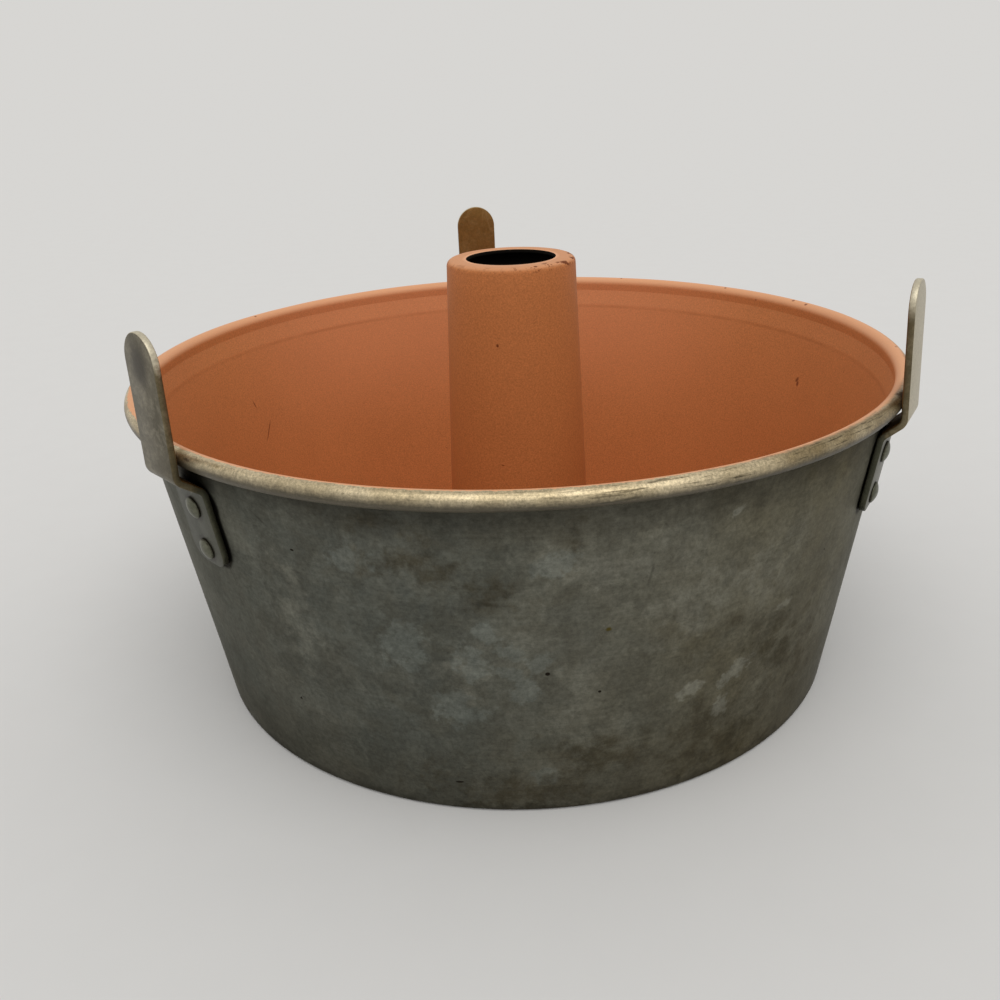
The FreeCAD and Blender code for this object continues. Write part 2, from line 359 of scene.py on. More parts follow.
# %% Blotches and specks
def moved_about(tree, place, scale, detail, amount):
    """A place pushed about by noise."""
    inputs = {"Vector": place, "Scale": scale, "Detail": detail}
    pushed = add(tree, "TexNoise", inputs).outputs["Color"]
    push = add(tree, "VectorMath", {0: pushed, "Scale": amount}, operation="SCALE").outputs[0]
    return vector(tree, "ADD", place, push)


def make_blotches():
    inputs = {"Scale": 20.0, "Level": 0.5, "Softness": 0.12}
    group, given, out = new_group("Heat blotches", inputs, ["Mask"])
    moved = moved_about(group, given["Place"], given["Scale"], 3.0, 0.02)
    level = noise(group, moved, given["Scale"], 7.0, 0.62)
    start = minus(group, given["Level"], given["Softness"])
    end = plus(group, given["Level"], given["Softness"])
    feed(group, out, {"Mask": ease(group, level, start, end)})
    return group


def make_specks():
    inputs = {"Scale": 200.0, "Size": 0.25, "Amount": 0.1}
    group, given, out = new_group("Small specks", inputs, ["Mask"])
    moved = moved_about(group, given["Place"], 900.0, 2.0, 0.0012)
    cells = add(group, "TexVoronoi", {"Vector": moved, "Scale": given["Scale"]}).outputs
    chance = add(group, "SeparateColor", {0: cells["Color"]}).outputs
    near = work_out(group, "LESS_THAN", cells["Distance"], times(group, given["Size"], chance[1]))
    chosen = work_out(group, "LESS_THAN", chance[0], given["Amount"])
    feed(group, out, {"Mask": times(group, near, chosen)})
    return group


BLOTCHES = make_blotches()
SPECKS = make_specks()
print("effects:", BLOTCHES.name, "and", SPECKS.name)

# %% [markdown]
# The rings stretch a noise far round the pan and squeeze it along the section, so they close without a
# seam. The length along the section is an input, because a flat floor, a wall and a bead each run their own
# way. Scratches are the thin lines where a stretched noise crosses its middle value, kept only here and
# there.

# %% Rings and scratches
def make_rings():
    inputs = {"Along": 0.0, "Fineness": 900.0, "Run": 8.0}
    group, given, out = new_group("Spinning rings", inputs, ["Value"])
    x, y, _ = split(group, given["Place"])
    stretched = join(group, times(group, x, given["Run"]), times(group, y, given["Run"]),
                     times(group, given["Along"], given["Fineness"]))
    feed(group, out, {"Value": noise(group, stretched, 1.0, 3.0, 0.6)})
    return group


def make_scratches():
    inputs = {"Turn": (0.0, 0.0, 0.0), "Scale": 30.0, "Width": 0.01, "Amount": 0.4}
    group, given, out = new_group("Thin scratches", inputs, ["Mask"])
    stretch = {"Vector": given["Place"], "Rotation": given["Turn"], "Scale": (1.0, 1.0, 0.12)}
    turned = add(group, "Mapping", stretch).outputs[0]
    level = noise(group, turned, given["Scale"], 1.0, 0.4, 0.4)
    off_line = work_out(group, "ABSOLUTE", minus(group, level, 0.5))
    fade = {"Value": off_line, "From Max": given["Width"], "To Min": 1.0, "To Max": 0.0}
    line = add(group, "MapRange", fade).outputs["Result"]
    limit = minus(group, 0.82, times(group, given["Amount"], 0.4))
    kept = ease(group, noise(group, given["Place"], 55.0, 3.0), limit, plus(group, limit, 0.06))
    feed(group, out, {"Mask": times(group, line, kept)})
    return group


RINGS = make_rings()
SCRATCHES = make_scratches()
print("effects:", RINGS.name, "and", SCRATCHES.name)

# %% [markdown]
# Other marks have a place of their own. A placed mark is an oval with a core and a soft outline, which
# noise can make ragged. The distance from the nearest rivet is where grime begins to gather.

# %% Placed marks and the nearest rivet
def make_mark():
    inputs = {"Middle": (0.0, 0.0, 0.0), "Reach": (0.01, 0.01, 1.0), "Turn": 0.0, "Edge": 0.0, "Core": 0.5}
    group, given, out = new_group("Placed mark", inputs, ["Mask"])
    offset = vector(group, "SUBTRACT", given["Place"], given["Middle"])
    turned = add(group, "VectorRotate", {"Vector": offset, "Angle": given["Turn"]}, rotation_type="Z_AXIS")
    away = vector(group, "LENGTH", vector(group, "DIVIDE", turned.outputs[0], given["Reach"]))
    strayed = plus(group, away, given["Edge"])
    fade = {"Value": strayed, "From Min": given["Core"], "To Min": 1.0, "To Max": 0.0}
    mask = add(group, "MapRange", fade, interpolation_type="SMOOTHSTEP").outputs["Result"]
    feed(group, out, {"Mask": mask})
    return group


def make_rivet_reach():
    group, given, out = new_group("Nearest rivet", {}, ["Distance"])
    nearest = None
    for azimuth, *_ in FEET.values():
        for seat in (upper_rivet, lower_rivet):
            head = round_pan(seat + off_wall * STRAP_SHEET, azimuth)
            away = vector(group, "DISTANCE", given["Place"], head)
            nearest = work_out(group, "MINIMUM", nearest, away) if nearest else away
    feed(group, out, {"Distance": nearest})
    return group


MARK = make_mark()
RIVET_REACH = make_rivet_reach()
print("effects:", MARK.name, "and", RIVET_REACH.name)

# %% [markdown]
# The real pan's spots, stains and scratches could be painted into an image, but then the pan would need
# one. Here the wall is rolled out flat in the shader, into a length round the pan and a height, and each
# mark is one entry in a list of places and reaches.

# %% Marks on a wall rolled out flat
WALL_ROUND = 115 * MM
TUBE_ROUND = 20 * MM


def rolled_out(tree, place, radius):
    """A point of a turned piece as if rolled out flat: its length round the axis, its height, its radius."""
    x, y, height = split(tree, place)
    away = vector(tree, "LENGTH", join(tree, x, y))
    along = times(tree, work_out(tree, "ARCTAN2", y, x), radius)
    return join(tree, along, height, away)


def join_masks(tree, masks):
    """The largest of several masks."""
    joined = masks[0]
    for mask in masks[1:]:
        joined = larger(tree, joined, mask)
    return joined


def stray_edge(tree, place, fineness, amount):
    """How far the edges of marks stray, in shares of their reach."""
    return spread(tree, noise(tree, place, fineness, 5.0, 0.65), -amount, amount)


def wall_marks(tree, rolled, marks, edge, core):
    """The mask of marks on the wall: azimuth, height, reach round, reach up and turn of each."""
    masks = []
    for azimuth, height, along, up, turn in marks:
        middle = (math.radians(azimuth) * WALL_ROUND, height * MM, WALL_ROUND)
        masks.append(effect(tree, MARK, rolled, Middle=middle, Reach=(along * MM, up * MM, 1.0),
                            Turn=math.radians(turn), Edge=edge, Core=core))
    return join_masks(tree, masks)


print("marks are placed on a wall rolled out at", round(WALL_ROUND / MM), "mm")

# %% [markdown]
# Outside, the wall is bare aluminium that the oven has dulled. At the front its marks lie where the
# photograph shows them: spots scrubbed pale, paler haze that is partly painted light, brown stains, a few
# lines and dots. Round the sides and the back, which it doesn't show, the marks are of the same kinds and
# sizes.

# %% Marks on the outside of the wall
# Each mark has its azimuth and height, its reach round and up the wall, and its turn, in degrees and mm
SCRUBBED = [
    (-73.6, 36.6, 4.6, 3.2, -8), (-66.4, 37.8, 7.4, 3.4, -24), (-67.6, 27.1, 4.8, 3.8, 0),
    (-58.4, 54.6, 4.4, 1.9, -12), (-70.6, 91.6, 2.8, 1.5, -30), (-18.0, 44.0, 5.0, 3.4, 10),
    (26.0, 52.0, 6.0, 3.4, 15), (68.0, 33.0, 5.0, 3.0, -10), (118.0, 61.0, 7.0, 3.2, 20),
    (156.0, 40.0, 4.6, 3.6, 0), (-164.0, 70.0, 5.0, 3.0, -15),
]
FAINT = [
    (-101.6, 63.6, 4.6, 4.4, 0), (-98.7, 57.9, 6.6, 3.0, 25), (-94.9, 54.4, 4.8, 4.0, 0),
    (-98.7, 50.4, 4.6, 3.4, 20), (-97.2, 44.6, 5.0, 5.0, 0), (-103.6, 54.0, 6.0, 7.0, 0),
    (-106.0, 38.0, 9.0, 7.0, 0), (-94.4, 13.7, 5.4, 4.0, 0), (-112.0, 58.0, 8.0, 9.0, 0),
    (-117.5, 83.9, 6.0, 5.0, 0), (-92.8, 84.5, 7.0, 4.5, 0), (-8.0, 68.0, 8.0, 6.0, 0),
    (42.0, 70.0, 9.0, 7.0, 0), (97.0, 46.0, 8.0, 9.0, 0), (140.0, 24.0, 9.0, 6.0, 0),
    (168.0, 58.0, 8.0, 8.0, 0),
]
# Haze is paler metal, and on the front part of it is painted light.
HAZE_AND_LIGHT = [
    (-94.0, 85.0, 13.0, 8.0, 0), (-84.0, 82.0, 20.0, 9.0, 0), (-93.2, 13.5, 9.0, 7.0, 0),
    (-117.5, 83.9, 6.0, 6.0, 0), (-104.0, 52.0, 14.0, 14.0, 0), (-128.0, 62.0, 9.0, 26.0, 0),
    (-75.0, 66.0, 24.0, 18.0, 0), (-62.0, 66.0, 14.0, 14.0, 0), (-88.0, 82.0, 15.0, 10.0, 0),
    (-74.0, 60.0, 14.0, 10.0, 0), (-20.0, 60.0, 14.0, 16.0, 0), (32.0, 62.0, 18.0, 16.0, 0),
    (106.0, 70.0, 22.0, 14.0, 0), (150.0, 50.0, 16.0, 18.0, 0),
]
STAINS = [
    (-101.5, 76.0, 12.0, 7.0, 0), (-101.0, 73.0, 6.0, 1.6, 6), (-70.3, 17.6, 17.0, 14.0, 0),
    (-60.6, 45.5, 12.0, 14.0, 0), (-67.9, 56.6, 7.0, 6.0, 0), (-115.1, 96.5, 14.0, 4.5, 0),
    (-87.0, 20.0, 18.0, 12.0, 0), (-91.0, 92.0, 5.0, 8.0, 0), (-50.0, 30.0, 12.0, 22.0, 0),
    (-110.0, 85.0, 14.0, 9.0, 0), (-96.0, 7.0, 34.0, 12.0, 0), (-71.0, 20.0, 16.0, 14.0, 0),
    (-62.0, 44.0, 9.0, 7.0, 0), (-56.0, 36.0, 12.0, 16.0, 0), (-68.0, 12.0, 26.0, 12.0, 0),
    (-28.0, 22.0, 14.0, 12.0, 0), (8.0, 84.0, 12.0, 8.0, 0), (50.0, 24.0, 18.0, 14.0, 0),
    (76.0, 80.0, 12.0, 9.0, 0), (128.0, 86.0, 14.0, 8.0, 0), (165.0, 22.0, 18.0, 14.0, 0),
]
LINES = [(-81.4, 78.0, 0.8, 5.0, 8), (-130.2, 90.6, 5.0, 0.6, 40), (-101.0, 72.8, 5.5, 1.2, 6)]
DOTS = [(-94.0, 50.3, 0.8, 0.7, 0), (-107.0, 10.9, 1.6, 0.4, -5), (-125.9, 83.3, 0.7, 0.4, 0)]
OLIVE_SPOTS = [(-86.3, 63.1, 1.1, 1.0, 0)]
TAB_GRIME_AND_SHADOW_REACH = 2.0 * MM
TAB_GRIME_AND_SHADOW_CORE = 0.7 * MM


def round_tabs(tree, rolled, stray):
    """Grime and painted shadow on the wall, along the outline of each foot's tab."""
    middle = (lip_start + tab_foot) / 2
    half_round = half_width * WALL_ROUND / middle.x
    half_size = (half_round - TAB_CORNER, lip_start.z - middle.z - TAB_CORNER, 1.0)
    masks = []
    for azimuth, *_ in FEET.values():
        place = (math.radians(azimuth) * WALL_ROUND, middle.z, WALL_ROUND)
        away = vector(tree, "ABSOLUTE", vector(tree, "SUBTRACT", rolled, place))
        beyond = vector(tree, "MAXIMUM", vector(tree, "SUBTRACT", away, half_size))
        outside = plus(tree, vector(tree, "LENGTH", beyond), stray)
        masks.append(ease(tree, outside, TAB_CORNER + TAB_GRIME_AND_SHADOW_REACH, TAB_CORNER + TAB_GRIME_AND_SHADOW_CORE))
    return join_masks(tree, masks)


print(len(SCRUBBED + FAINT + HAZE_AND_LIGHT), "paler marks,", len(STAINS + LINES + DOTS + OLIVE_SPOTS), "darker ones")

# %% [markdown]
# Under the marks lie olive and brown heat stain in soft clouds over grey, fine rings from the spinning
# tool, and darkening under the rim and at the base, partly grime and partly painted shade. Stain is a skin
# on the metal, so where it is thick the surface is rougher and mirrors less.

# %% Finish of the wall outside
COOL_GREY = paint(90, 93, 87)
WARM_GREY = paint(105, 97, 74)
GREY = paint(106, 107, 99)
PALE_GREY = paint(134, 133, 121)
PALE_COOL = paint(126, 132, 126)
BROWN = paint(66, 60, 45)
GRIME_AND_SHADE = paint(40, 37, 30)
TAB_GRIME_AND_SHADOW = paint(14, 12, 9)
OLIVE = paint(76, 66, 14)
SPECK_BROWN = paint(30, 24, 18)
EDGE_ON_SHADE = paint(190, 187, 180)


def make_aged_wall():
    finish, tree, shader, place = new_finish("aged_aluminium")
    rolled = rolled_out(tree, place, WALL_ROUND)
    left_to_right, _, height = split(tree, place)

    # Patterns that go all round
    clouds = effect(tree, BLOTCHES, place, Scale=11.0, Softness=0.16)
    patches = effect(tree, BLOTCHES, place, Scale=32.0, Level=0.56, Softness=0.16)
    mottle = effect(tree, BLOTCHES, place, Scale=100.0, Level=0.52, Softness=0.2)
    flakes = effect(tree, BLOTCHES, place, Scale=75.0, Softness=0.05)
    rings = effect(tree, RINGS, place, Along=height, Fineness=1300.0, Run=14.0)
    grain = noise(tree, place, 700.0, 6.0, 0.8)
    scratches = effect(tree, SCRATCHES, place, Turn=(0.5, 1.1, 0.3), Amount=0.35)
    specks = effect(tree, SPECKS, place, Scale=160.0, Size=0.1, Amount=0.05)

    # Marks with a place
    stray = stray_edge(tree, place, 160.0, 2.2)
    ragged = stray_edge(tree, place, 230.0, 1.5)
    lightened = wall_marks(tree, rolled, SCRUBBED, ragged, 0.5)
    faint = wall_marks(tree, rolled, FAINT, ragged, 0.5)
    haze_and_light = wall_marks(tree, rolled, HAZE_AND_LIGHT, stray, -0.4)
    stain = wall_marks(tree, rolled, STAINS, stray, -0.3)
    dots = wall_marks(tree, rolled, DOTS, 0.0, 0.6)
    lines = wall_marks(tree, rolled, LINES, stray_edge(tree, place, 260.0, 1.0), 0.2)
    olive = wall_marks(tree, rolled, OLIVE_SPOTS, stray_edge(tree, place, 600.0, 0.8), 0.4)

    # Grime and painted shade by height, stain low down, grime and painted shadow round the tabs, and stain
    # towards the right
    wandering = plus(tree, height, times(tree, stray, 2.5 * MM))
    shade_and_grime_under_bead = ease(tree, wandering, 86.0 * MM, bead_middle.z - BEAD_RADIUS)
    shade_and_grime_at_base = ease(tree, wandering, 4.0 * MM, 0.5 * MM)
    low_down = ease(tree, wandering, 32.0 * MM, 6.0 * MM)
    tabs = round_tabs(tree, rolled, times(tree, stray, 0.4 * MM))
    browned = times(tree, ease(tree, left_to_right, -50 * MM, 60 * MM),
                    ease(tree, left_to_right, 105 * MM, 70 * MM))

    # The layers, from the metal up
    # Where browned falls to 0, towards the far left and right, the cool grey is bare grey metal and partly a
    # painted reflection.
    colour = mix(tree, browned, COOL_GREY, WARM_GREY)
    colour = lay_on(tree, colour, (GREY, clouds, 0.6), (PALE_GREY, patches, 0.35), (BROWN, mottle, 0.4),
                    (PALE_GREY, haze_and_light, 0.44), (PALE_COOL, faint, 0.36), (PALE_GREY, lightened, 0.7),
                    (BROWN, stain, 0.68), (BROWN, low_down, 0.35), (GRIME_AND_SHADE, shade_and_grime_under_bead, 0.6),
                    (GRIME_AND_SHADE, shade_and_grime_at_base, 0.5))
    colour = tone(tree, colour, flakes, 0.88, 1.06)
    colour = tone(tree, colour, rings, 0.84, 1.16)
    colour = tone(tree, colour, grain, 0.2, 1.8)
    colour = lay_on(tree, colour, (PALE_GREY, scratches, 0.4), (GRIME_AND_SHADE, lines, 0.45), (OLIVE, olive, 0.9),
                    (TAB_GRIME_AND_SHADOW, tabs, 0.97), (SPECK_BROWN, larger(tree, specks, dots), 1.0))
    dull = minus(tree, spread(tree, mottle, 0.46, 0.56), times(tree, clouds, 0.08))
    heights = relief(tree, (noise(tree, place, 26.0, 2.0), 0.35, 1.0 * MM), (rings, 0.3, 0.06 * MM),
                     (grain, 0.3, 0.12 * MM))
    feed(tree, shader, {
        "Base Color": colour,
        "Roughness": minus(tree, dull, times(tree, lightened, 0.06)),
        "Metallic": spread(tree, mottle, 0.85, 0.6),
        "Specular IOR Level": 0.25,
        "Specular Tint": EDGE_ON_SHADE,
        "Normal": heights})
    return finish


AGED_WALL = make_aged_wall()
print("finish:", AGED_WALL.name, len(AGED_WALL.node_tree.nodes), "nodes")

# %% [markdown]
# Inside, the pan has a matte terracotta coating with a fine grain. The wall and the tube both wear it, so
# its colour and grain are one node group, and each piece adds its own marks.

# %% The coating
COAT = paint(200, 129, 76)
COAT_DARK = paint(160, 94, 50)
COAT_BURN = paint(116, 54, 25)
COAT_WORN_AND_LIT = paint(230, 172, 130)
COAT_LIT = paint(244, 160, 120)


def make_coat():
    group, given, out = new_group("Terracotta coat", {}, ["Colour", "Grain"])
    place = given["Place"]
    grain = noise(group, place, 1900.0, 4.0, 0.7)
    clouds = effect(group, BLOTCHES, place, Scale=18.0, Softness=0.25)
    specks = effect(group, SPECKS, place, Scale=150.0, Size=0.09, Amount=0.06)
    colour = mix(group, spread(group, clouds, 0.0, 0.2), COAT, COAT_DARK)
    colour = tone(group, colour, grain, 0.4, 1.6)
    colour = lay_on(group, colour, (COAT_BURN, specks, 0.6))
    feed(group, out, {"Colour": colour, "Grain": grain})
    return group


TERRACOTTA = make_coat()
print("coating:", len(TERRACOTTA.nodes), "nodes")

# %% [markdown]
# The coating laps over the rolled rim, further at the back than at the front, and there it has been knocked
# away: outwards from that edge the bead is bare, pale and pitted, and its lower side is darker, partly grime
# and partly painted shade. A point's distance from the pan's axis tells on which side of the edge it lies,
# and noise makes the edge ragged. Marks on the bead are placed by a length across it, measured over its
# crest, so that they bend with it.

# %% Finish of the wall inside, and of the rim
# The dark marks on the bead beside the feet are stain, and painted shade of the gap at each foot.
# Marks on the bead have their azimuth, place across it from the crest, reach round and across, and turn
RIM_STAINS_AND_SHADE = [
    (-139.2, 2.6, 1.9, 0.8, 0), (-141.8, 3.2, 3.0, 1.8, 0), (-37.5, 1.5, 5.5, 2.1, 0),
    (-38.5, 3.0, 5.0, 1.5, 0),
]
RIM_TARNISH = [(-141.0, 1.6, 7.0, 2.6, 0), (-133.5, 1.8, 3.0, 1.2, 0), (-39.0, 0.9, 12.0, 2.0, 0)]
RIM_SPECKS = [
    (20.5, -0.8, 0.8, 0.8, 0), (17.0, -1.2, 0.7, 0.7, 0), (-14.2, 0.4, 0.6, 0.6, 0),
    (37.0, -0.9, 0.6, 0.6, 0), (140.6, -1.0, 0.6, 0.6, 0), (60.0, -0.6, 0.5, 0.5, 0),
]
# Marks below the bead have their height instead of a place across it
INSIDE_MARKS = [
    (144.9, 60.8, 5.6, 0.35, 58), (147.0, 72.9, 0.45, 2.2, 20), (14.8, 77.6, 0.9, 1.7, -35),
    (14.5, 76.0, 0.8, 1.4, 0),
]
PALE_METAL = paint(216, 200, 167)
DULL_METAL = paint(164, 147, 112)
RIM_OLIVE = paint(116, 98, 64)
PIT = paint(84, 74, 54)
RIM_BROWN_AND_SHADE = paint(54, 33, 6)
RIM_YELLOW = paint(128, 102, 38)
RIM_GRIME_AND_SHADE = paint(58, 54, 44)
BEND_SHADE_DROP = 0.8 * MM


def make_wall_coating():
    finish, tree, shader, place = new_finish("terracotta_wall")
    coat = use_group(tree, TERRACOTTA, place)
    rolled = rolled_out(tree, place, WALL_ROUND)
    along, height, radius = split(tree, rolled)
    left_to_right, front_to_back, _ = split(tree, place)
    stray = stray_edge(tree, place, 420.0, 0.9)
    half_stray = times(tree, stray, 0.5)
    to_right = ease(tree, left_to_right, 5 * MM, 65 * MM)
    to_left = ease(tree, left_to_right, 10 * MM, -70 * MM)

    # Where the coating ends on the bead
    kept = ease(tree, front_to_back, -72 * MM, -32 * MM)
    lap = spread(tree, kept, bead_middle.x + 0.1 * MM, bead_middle.x + 1.3 * MM)
    beyond = plus(tree, minus(tree, radius, lap), times(tree, stray, MM))
    fade = spread(tree, to_right, 0.15 * MM, 0.9 * MM)
    bare = ease(tree, work_out(tree, "DIVIDE", beyond, fade), -1.0, 1.0)

    # Wear, grime, painted shade and marks on the bead
    above = minus(tree, height, bead_middle.z)
    aside = minus(tree, radius, bead_middle.x)
    over_bead = times(tree, work_out(tree, "ARCTAN2", aside, above), BEAD_RADIUS)
    dashes = effect(tree, RINGS, place, Along=over_bead, Fineness=1400.0, Run=90.0)
    streaks = effect(tree, RINGS, place, Along=over_bead, Fineness=3000.0, Run=260.0)
    speckle = noise(tree, place, 1500.0, 4.0, 0.75)
    patches = ease(tree, noise(tree, place, 70.0, 3.0), 0.35, 0.65)
    browned = times(tree, to_right, spread(tree, patches, 0.5, 1.0))
    scuffed = spread(tree, ease(tree, left_to_right, -40 * MM, 35 * MM), 0.2, 0.85)
    pitted = times(tree, ease(tree, dashes, 0.54, 0.66), scuffed)
    # The bead's lower side is darkened, partly grime and partly painted shade, more on the left.
    sunk = plus(tree, height, times(tree, stray, 0.9 * MM))
    sunk = minus(tree, sunk, times(tree, to_left, 0.9 * MM))
    grime_and_shade_below = ease(tree, sunk, bead_middle.z + 1.5 * MM, bead_middle.z - 1.4 * MM)
    on_bead = join(tree, along, over_bead, WALL_ROUND)
    stain_and_shade = wall_marks(tree, on_bead, RIM_STAINS_AND_SHADE, stray, 0.25)
    tarnish = wall_marks(tree, on_bead, RIM_TARNISH, stray, -0.3)
    specks = wall_marks(tree, on_bead, RIM_SPECKS, half_stray, 0.5)
    marked = larger(tree, specks, wall_marks(tree, rolled, INSIDE_MARKS, half_stray, 0.4))

    # The bare metal, the coating, and what lies on both
    metal = lay_on(tree, PALE_METAL, (DULL_METAL, patches, 0.5), (RIM_OLIVE, browned, 0.75),
                   (PIT, pitted, 1.0))
    metal = tone(tree, metal, streaks, 0.75, 1.25)
    metal = tone(tree, metal, speckle, -0.1, 2.1)
    metal = lay_on(tree, metal, (RIM_GRIME_AND_SHADE, grime_and_shade_below, 0.9))
    # A dark line just below the lip's bend is painted shade of the bend.
    off_line = work_out(tree, "ABSOLUTE", minus(tree, height, lip_start.z - BEND_SHADE_DROP))
    bend_shade_line = times(tree, ease(tree, off_line, 0.9 * MM, 0.2 * MM), spread(tree, patches, 0.4, 1.0))
    # The coat is painted lighter towards the back and higher up, a painted light.
    at_back = ease(tree, front_to_back, 50 * MM, 110 * MM)
    lit_higher_back = times(tree, at_back, ease(tree, height, 35 * MM, 90 * MM))
    # The coat on the bead's top is painted paler: worn coating and a painted highlight where it faces up.
    pale_top = ease(tree, height, bead_middle.z - 0.4 * MM, bead_middle.z + 1.8 * MM)
    coated = lay_on(tree, coat["Colour"], (COAT_LIT, lit_higher_back, 0.27), (COAT_DARK, bend_shade_line, 0.3),
                    (COAT_WORN_AND_LIT, pale_top, 0.75))
    colour = lay_on(tree, mix(tree, bare, coated, metal), (RIM_YELLOW, tarnish, 0.6),
                    (RIM_BROWN_AND_SHADE, stain_and_shade, 0.95), (COAT_BURN, marked, 0.85))
    dirt_and_shade = larger(tree, times(tree, grime_and_shade_below, 0.7), stain_and_shade)
    feed(tree, shader, {
        "Base Color": colour,
        "Roughness": larger(tree, spread(tree, bare, 0.58, 0.42), times(tree, stain_and_shade, 0.85)),
        "Metallic": times(tree, bare, spread(tree, dirt_and_shade, 1.0, 0.0)),
        "Specular IOR Level": 0.35,
        "Normal": relief(tree, (mix(tree, bare, coat["Grain"], dashes), 0.4, 0.06 * MM))})
    return finish


WALL_COATING = make_wall_coating()
print("finish:", WALL_COATING.name, len(WALL_COATING.node_tree.nodes), "nodes")

# %% [markdown]
# On the tube the lip is painted paler, worn coating and a painted highlight on its top and by the mouth,
# and the coating is chipped along the lip's edge, where bottles and cloths have knocked it. A few dark spots
# lie further down.

# %% Finish of the tube and the floor
LIP_TOP = tube_high.z / MM
TUBE_TINT = paint(242, 236, 229)
CHIP = paint(98, 42, 14)
LIP_CHIPS = [
    # azimuth, radius, reach round, up and out
    (-61.6, 18.0, 1.6, 1.5, 0.7), (-41.5, 20.4, 1.9, 1.2, 0.8), (-48.0, 19.6, 1.0, 1.5, 0.6),
    (0.8, 19.4, 1.8, 1.5, 0.8), (-74.0, 20.0, 0.9, 1.5, 0.5), (-20.0, 20.3, 1.3, 1.5, 0.7),
    (12.0, 20.6, 0.8, 1.5, 0.5), (55.0, 20.8, 0.9, 1.5, 0.4), (90.0, 20.8, 1.1, 1.5, 0.4),
    (128.0, 20.7, 1.0, 1.5, 0.4), (165.0, 20.6, 1.2, 1.5, 0.4),
]
TUBE_SPOTS = [
    # azimuth, height, radius, reach round, up and out
    (-110.7, 112.4, 22.1, 0.5, 0.5, 2.0), (-108.7, 72.1, 23.6, 0.5, 0.4, 2.0),
    (-16.0, 93.8, 22.8, 0.4, 0.5, 2.0),
]


def make_tube_coating():
    finish, tree, shader, place = new_finish("terracotta_tube")
    coat = use_group(tree, TERRACOTTA, place)
    rolled = rolled_out(tree, place, TUBE_ROUND)
    stray = stray_edge(tree, place, 900.0, 1.6)
    masks = []
    for azimuth, *sizes in [(chip[0], LIP_TOP, *chip[1:]) for chip in LIP_CHIPS] + TUBE_SPOTS:
        height, radius, *reach = (size * MM for size in sizes)
        middle = (math.radians(azimuth) * TUBE_ROUND, height, radius)
        masks.append(effect(tree, MARK, rolled, Middle=middle, Reach=reach, Edge=stray, Core=0.4))
    _, height, radius = split(tree, rolled)
    on_lip = ease(tree, height, (LIP_TOP - 1.2) * MM, (LIP_TOP - 0.2) * MM)
    lip_edge = times(tree, ease(tree, radius, 18.6 * MM, 20.2 * MM),
                     ease(tree, height, (LIP_TOP - 2.2) * MM, (LIP_TOP - 1.0) * MM))
    knocks = ease(tree, noise(tree, place, 420.0, 5.0, 0.7), 0.54, 0.58)
    to_right = ease(tree, split(tree, place)[0], -6.0 * MM, 10.0 * MM)
    knocks = times(tree, knocks, spread(tree, to_right, 0.3, 1.0))
    chipped = join_masks(tree, masks + [times(tree, lip_edge, knocks)])
    # The lip's top and the edge by the mouth are painted paler: worn coating and a painted highlight.
    by_mouth = ease(tree, radius, 16.4 * MM, 15.0 * MM)
    lip_wear_and_sheen = times(tree, on_lip, spread(tree, by_mouth, 0.5, 0.95))
    colour = mix(tree, 1.0, coat["Colour"], TUBE_TINT, "MULTIPLY")
    feed(tree, shader, {
        "Base Color": lay_on(tree, colour, (COAT_WORN_AND_LIT, lip_wear_and_sheen, 1.0), (CHIP, chipped, 0.9)),
        "Roughness": spread(tree, chipped, 0.58, 0.9),
        "Specular IOR Level": 0.25,
        "Normal": relief(tree, (coat["Grain"], 0.4, 0.06 * MM))})
    return finish


TUBE_COATING = make_tube_coating()
print("finish:", TUBE_COATING.name, len(TUBE_COATING.node_tree.nodes), "nodes")

# %% [markdown]
# The faces that nobody wipes, under the floor and up the bore of the tube, are bare metal gone dark, and
# below the mouth the bore is painted near black, a painted shade.

# %% Finish of the hidden faces
HIDDEN_DARK = paint(50, 38, 26)
HIDDEN_DULL = paint(72, 63, 50)
HIDDEN_RING = paint(42, 33, 24)
BORE_SHADE = paint(20, 14, 8)


def make_dark_metal():
    finish, tree, shader, place = new_finish("dark_underside")
    clouds = effect(tree, BLOTCHES, place, Scale=22.0, Softness=0.2)
    _, height, radius = split(tree, rolled_out(tree, place, TUBE_ROUND))
    rings = effect(tree, RINGS, place, Along=plus(tree, radius, height))
    # Painted shade: the bore below the mouth goes near black.
    shaded_bore = ease(tree, height, (LIP_TOP - 12.0) * MM, (LIP_TOP - 3.0) * MM)
    colour = mix(tree, clouds, HIDDEN_DARK, HIDDEN_DULL)
    feed(tree, shader, {
        "Base Color": lay_on(tree, colour, (HIDDEN_RING, rings, 0.5), (BORE_SHADE, shaded_bore, 1.0)),
        "Roughness": larger(tree, spread(tree, clouds, 0.7, 0.58), shaded_bore),
        "Metallic": 0.6,
        "Normal": relief(tree, (rings, 0.3, 0.06 * MM))})
    return finish


DARK_METAL = make_dark_metal()
print("finish:", DARK_METAL.name, len(DARK_METAL.node_tree.nodes), "nodes")

# %% [markdown]
# The straps were cut from plain aluminium and never polished. Their faces are dull, with grime round the
# rivets, and the side that faces the pan is painted brown, a painted reflection of the coating. The right
# foot's face is painted paler, a painted sheen, and the left one has a brown smudge. The tabs are darker,
# and on their cut edges by the wall that dark is also painted shade. The cut edges are brown, except at the
# round tops, which the table rubs bright. One recipe makes the back, the face and the edge, each from three
# tints: dull, clear and worn.

